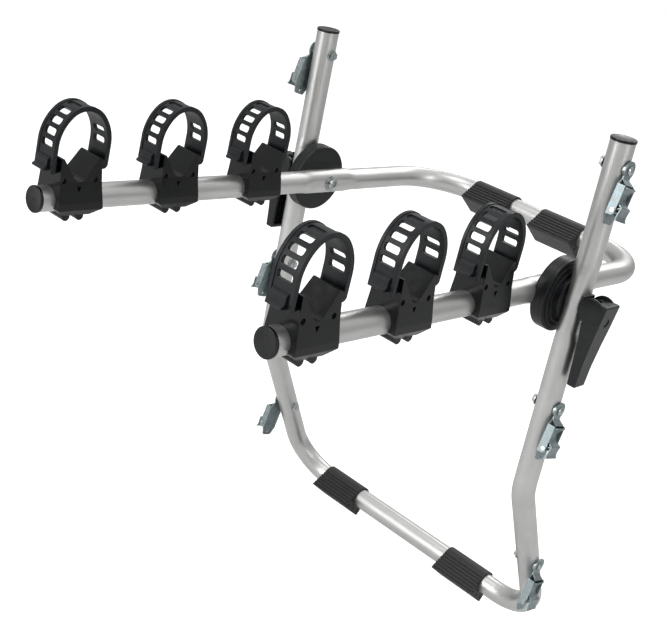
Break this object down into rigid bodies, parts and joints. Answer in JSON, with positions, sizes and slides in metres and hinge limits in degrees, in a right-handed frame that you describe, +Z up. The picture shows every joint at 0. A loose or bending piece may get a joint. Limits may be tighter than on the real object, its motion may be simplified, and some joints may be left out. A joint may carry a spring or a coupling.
{
  "type": "trunk mounted bike rack",
  "caption": "Folding trunk rack for bicycles: bent tube leg frame and arm frame on toothed hubs, V cradles with ladder straps, cam levers, webbing buckles and rubber pads.",
  "frame": {"origin": "middle of the hub axis, between the two toothed hubs", "axes": "+X along the hub axis to the right, the arms reach out level towards -Y, the car is on the +Y side, +Z up"},
  "size_m": [0.5634, 0.7449, 0.7443],
  "materials": {
    "anodised_tube": "satin anodised",
    "black_plastic": "fine moulded texture",
    "lever_plastic": "satin moulded",
    "strap_rubber": "satin",
    "pad_rubber": "matte ribbed",
    "zinc_sheet": "zinc plated",
    "zinc_fastener": "bright zinc plated"
  },
  "bodies": {
    "leg_frame": {"leg_tube": "anodised_tube", "leg_end_cap_right": "black_plastic", "leg_end_cap_left": "black_plastic", "hub_outer_right": "black_plastic", "hub_outer_left": "black_plastic", "tie_bolt_right": "zinc_fastener", "tie_bolt_left": "zinc_fastener", "tie_washers": "zinc_fastener", "saddle_washers": "black_plastic", "cross_pins": "black_plastic", "buckle_bolts": "zinc_fastener", "buckle_spacers": "zinc_fastener", "buckle_washers": "zinc_fastener", "buckle_nuts": "zinc_fastener"},
    "arm_frame": {"arm_tube": "anodised_tube", "arm_end_cap_right": "black_plastic", "arm_end_cap_left": "black_plastic", "hub_inner_right": "black_plastic", "hub_inner_left": "black_plastic", "cradle_base_1_right": "black_plastic", "cradle_base_1_left": "black_plastic", "cradle_base_2_right": "black_plastic", "cradle_base_2_left": "black_plastic", "cradle_base_3_right": "black_plastic", "cradle_base_3_left": "black_plastic", "strap_pins": "black_plastic", "cradle_screws": "zinc_fastener", "cradle_nuts": "zinc_fastener"},
    "cam_lever_right": {"cam_lever_right": "lever_plastic"},
    "cam_lever_left": {"cam_lever_left": "lever_plastic"},
    "strap_1_right": {"cradle_strap_1_right": "strap_rubber"},
    "strap_1_left": {"cradle_strap_1_left": "strap_rubber"},
    "strap_2_right": {"cradle_strap_2_right": "strap_rubber"},
    "strap_2_left": {"cradle_strap_2_left": "strap_rubber"},
    "strap_3_right": {"cradle_strap_3_right": "strap_rubber"},
    "strap_3_left": {"cradle_strap_3_left": "strap_rubber"},
    "buckle_upper_right": {"buckle_frame_upper_right": "zinc_sheet", "buckle_pin_upper_right": "zinc_fastener"},
    "buckle_cam_upper_right": {"buckle_cam_upper_right": "zinc_sheet"},
    "buckle_upper_left": {"buckle_frame_upper_left": "zinc_sheet", "buckle_pin_upper_left": "zinc_fastener"},
    "buckle_cam_upper_left": {"buckle_cam_upper_left": "zinc_sheet"},
    "buckle_middle_right": {"buckle_frame_middle_right": "zinc_sheet", "buckle_pin_middle_right": "zinc_fastener"},
    "buckle_cam_middle_right": {"buckle_cam_middle_right": "zinc_sheet"},
    "buckle_middle_left": {"buckle_frame_middle_left": "zinc_sheet", "buckle_pin_middle_left": "zinc_fastener"},
    "buckle_cam_middle_left": {"buckle_cam_middle_left": "zinc_sheet"},
    "buckle_lower_right": {"buckle_frame_lower_right": "zinc_sheet", "buckle_pin_lower_right": "zinc_fastener"},
    "buckle_cam_lower_right": {"buckle_cam_lower_right": "zinc_sheet"},
    "buckle_lower_left": {"buckle_frame_lower_left": "zinc_sheet", "buckle_pin_lower_left": "zinc_fastener"},
    "buckle_cam_lower_left": {"buckle_cam_lower_left": "zinc_sheet"},
    "pad_upper_left": {"pad_upper_left": "pad_rubber"},
    "pad_upper_right": {"pad_upper_right": "pad_rubber"},
    "pad_lower_left": {"pad_lower_left": "pad_rubber"},
    "pad_lower_right": {"pad_lower_right": "pad_rubber"}
  },
  "joints": [
    {"name": "arm_fold", "type": "hinge", "parent": "leg_frame", "child": "arm_frame", "pos_m": [0, 0, 0], "axis": [1, 0, 0], "range_deg": [-85, 90]},
    {"name": "cam_lever_right_swing", "type": "hinge", "parent": "leg_frame", "child": "cam_lever_right", "pos_m": [0.263, 0, 0], "axis": [0, -1, 0], "range_deg": [0, 90]},
    {"name": "cam_lever_left_swing", "type": "hinge", "parent": "leg_frame", "child": "cam_lever_left", "pos_m": [-0.263, 0, 0], "axis": [0, 1, 0], "range_deg": [0, 90]},
    {"name": "strap_1_right_hinge", "type": "hinge", "parent": "arm_frame", "child": "strap_1_right", "pos_m": [0.1899, -0.11094, 0.0435], "axis": [-1, 0, 0], "range_deg": [0, 95]},
    {"name": "strap_1_left_hinge", "type": "hinge", "parent": "arm_frame", "child": "strap_1_left", "pos_m": [-0.1899, -0.11094, 0.0435], "axis": [-1, 0, 0], "range_deg": [0, 95]},
    {"name": "strap_2_right_hinge", "type": "hinge", "parent": "arm_frame", "child": "strap_2_right", "pos_m": [0.1899, -0.25494, 0.0435], "axis": [-1, 0, 0], "range_deg": [0, 95]},
    {"name": "strap_2_left_hinge", "type": "hinge", "parent": "arm_frame", "child": "strap_2_left", "pos_m": [-0.1899, -0.25494, 0.0435], "axis": [-1, 0, 0], "range_deg": [0, 95]},
    {"name": "strap_3_right_hinge", "type": "hinge", "parent": "arm_frame", "child": "strap_3_right", "pos_m": [0.1899, -0.39893, 0.0435], "axis": [-1, 0, 0], "range_deg": [0, 95]},
    {"name": "strap_3_left_hinge", "type": "hinge", "parent": "arm_frame", "child": "strap_3_left", "pos_m": [-0.1899, -0.39893, 0.0435], "axis": [-1, 0, 0], "range_deg": [0, 95]},
    {"name": "buckle_upper_right_swing", "type": "hinge", "parent": "leg_frame", "child": "buckle_upper_right", "pos_m": [0.2527, -0.00857, 0.16978], "axis": [1, 0, 0], "range_deg": [-35, 35]},
    {"name": "buckle_cam_upper_right_press", "type": "hinge", "parent": "buckle_upper_right", "child": "buckle_cam_upper_right", "pos_m": [0.2588, -0.01914, 0.12399], "axis": [0, 0.9744, -0.225], "range_deg": [0, 35], "stiffness_Nm_per_rad": 0.1, "springref_deg": -17.19},
    {"name": "buckle_upper_left_swing", "type": "hinge", "parent": "leg_frame", "child": "buckle_upper_left", "pos_m": [-0.2527, -0.00857, 0.16978], "axis": [1, 0, 0], "range_deg": [-35, 35]},
    {"name": "buckle_cam_upper_left_press", "type": "hinge", "parent": "buckle_upper_left", "child": "buckle_cam_upper_left", "pos_m": [-0.2588, -0.01914, 0.12399], "axis": [0, -0.9744, 0.225], "range_deg": [0, 35], "stiffness_Nm_per_rad": 0.1, "springref_deg": -17.19},
    {"name": "buckle_middle_right_swing", "type": "hinge", "parent": "leg_frame", "child": "buckle_middle_right", "pos_m": [0.2527, 0.00703, -0.13932], "axis": [1, 0, 0], "range_deg": [-35, 35]},
    {"name": "buckle_cam_middle_right_press", "type": "hinge", "parent": "buckle_middle_right", "child": "buckle_cam_middle_right", "pos_m": [0.2588, -0.00354, -0.18512], "axis": [0, 0.9744, -0.225], "range_deg": [0, 35], "stiffness_Nm_per_rad": 0.1, "springref_deg": -17.19},
    {"name": "buckle_middle_left_swing", "type": "hinge", "parent": "leg_frame", "child": "buckle_middle_left", "pos_m": [-0.2527, 0.00703, -0.13932], "axis": [1, 0, 0], "range_deg": [-35, 35]},
    {"name": "buckle_cam_middle_left_press", "type": "hinge", "parent": "buckle_middle_left", "child": "buckle_cam_middle_left", "pos_m": [-0.2588, -0.00354, -0.18512], "axis": [0, -0.9744, 0.225], "range_deg": [0, 35], "stiffness_Nm_per_rad": 0.1, "springref_deg": -17.19},
    {"name": "buckle_lower_right_swing", "type": "hinge", "parent": "leg_frame", "child": "buckle_lower_right", "pos_m": [0.2527, 0.08815, -0.39063], "axis": [1, 0, 0], "range_deg": [-35, 35]},
    {"name": "buckle_cam_lower_right_press", "type": "hinge", "parent": "buckle_lower_right", "child": "buckle_cam_lower_right", "pos_m": [0.2588, 0.07758, -0.43643], "axis": [0, 0.9744, -0.225], "range_deg": [0, 35], "stiffness_Nm_per_rad": 0.1, "springref_deg": -17.19},
    {"name": "buckle_lower_left_swing", "type": "hinge", "parent": "leg_frame", "child": "buckle_lower_left", "pos_m": [-0.2527, 0.08815, -0.39063], "axis": [1, 0, 0], "range_deg": [-35, 35]},
    {"name": "buckle_cam_lower_left_press", "type": "hinge", "parent": "buckle_lower_left", "child": "buckle_cam_lower_left", "pos_m": [-0.2588, 0.07758, -0.43643], "axis": [0, -0.9744, 0.225], "range_deg": [0, 35], "stiffness_Nm_per_rad": 0.1, "springref_deg": -17.19},
    {"name": "pad_upper_left_turn", "type": "hinge", "parent": "arm_frame", "child": "pad_upper_left", "pos_m": [-0.071, 0.253, 0], "axis": [1, 0, 0], "continuous": true},
    {"name": "pad_upper_right_turn", "type": "hinge", "parent": "arm_frame", "child": "pad_upper_right", "pos_m": [0.05, 0.253, 0], "axis": [1, 0, 0], "continuous": true},
    {"name": "pad_lower_left_turn", "type": "hinge", "parent": "leg_frame", "child": "pad_lower_left", "pos_m": [-0.138, 0.15887, -0.50972], "axis": [1, 0, 0], "continuous": true},
    {"name": "pad_lower_right_turn", "type": "hinge", "parent": "leg_frame", "child": "pad_lower_right", "pos_m": [0.113, 0.15887, -0.50972], "axis": [1, 0, 0], "continuous": true}
  ]
}
